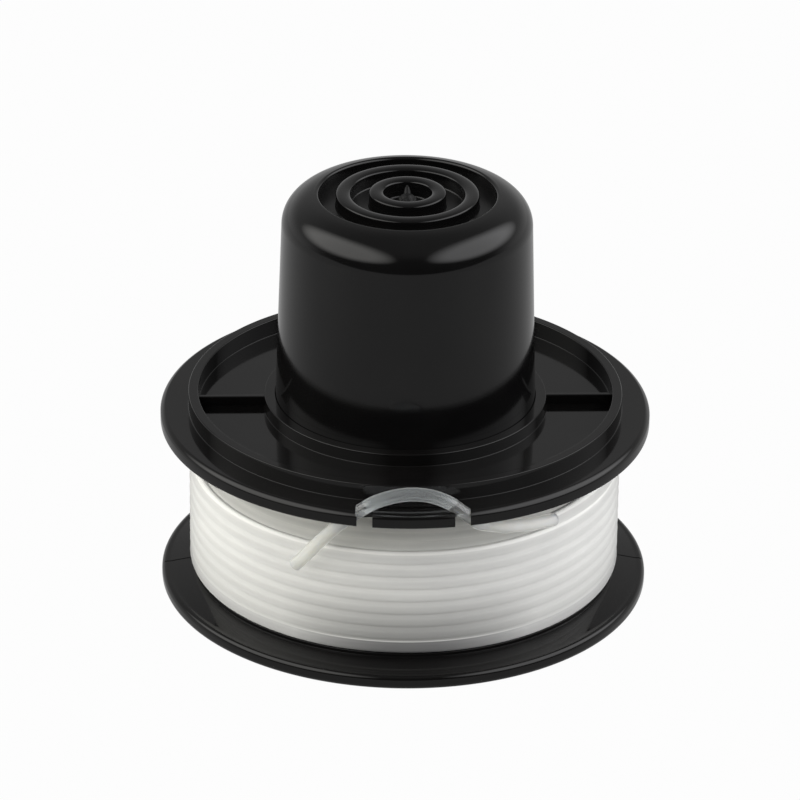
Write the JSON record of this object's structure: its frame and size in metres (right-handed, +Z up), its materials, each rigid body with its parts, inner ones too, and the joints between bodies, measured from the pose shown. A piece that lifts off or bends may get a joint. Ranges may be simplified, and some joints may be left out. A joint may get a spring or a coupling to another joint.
{
  "type": "line reel",
  "caption": "Moulded reel of round trimmer line with a sprung bump knob in its middle, a drive hub inside, and the line's free end parked in notches of the upper flange.",
  "frame": {"origin": "on the reel's axis, on the face that it rests on, under the lower flange", "axes": "+Z up along the reel's axis towards the knob, -Y towards the tab that holds the free line"},
  "size_m": [0.062, 0.062, 0.0538],
  "materials": {
    "spool_plastic": "satin",
    "knob_plastic": "glossy",
    "inner_plastic": "satin",
    "spring_steel": "satin",
    "bush_brass": "satin",
    "line_nylon": "milky"
  },
  "bodies": {
    "spool": {"spool_body": "spool_plastic", "thrust_washer": "spring_steel", "line_core": "line_nylon", "line_inner_turns": "line_nylon", "line_outer_turns": "line_nylon", "line_tail": "line_nylon"},
    "knob": {"bump_knob": "knob_plastic", "index_sleeve": "inner_plastic", "upper_spring_seat": "spring_steel"},
    "hub": {"drive_hub": "inner_plastic", "spindle_bush": "bush_brass", "retaining_ring": "spring_steel", "lower_spring_seat": "spring_steel", "bump_spring": "spring_steel"}
  },
  "joints": [
    {"name": "bump_press", "type": "slide", "parent": "spool", "child": "knob", "axis": [0, 0, 1], "range_m": [-0.005, 0], "stiffness_N_per_m": 800, "springref_m": 0.006, "deforming": ["bump_spring"]},
    {"name": "hub_turn", "type": "hinge", "parent": "spool", "child": "hub", "pos_m": [0, 0, 0], "axis": [0, 0, 1], "range_deg": [0, 52]}
  ]
}
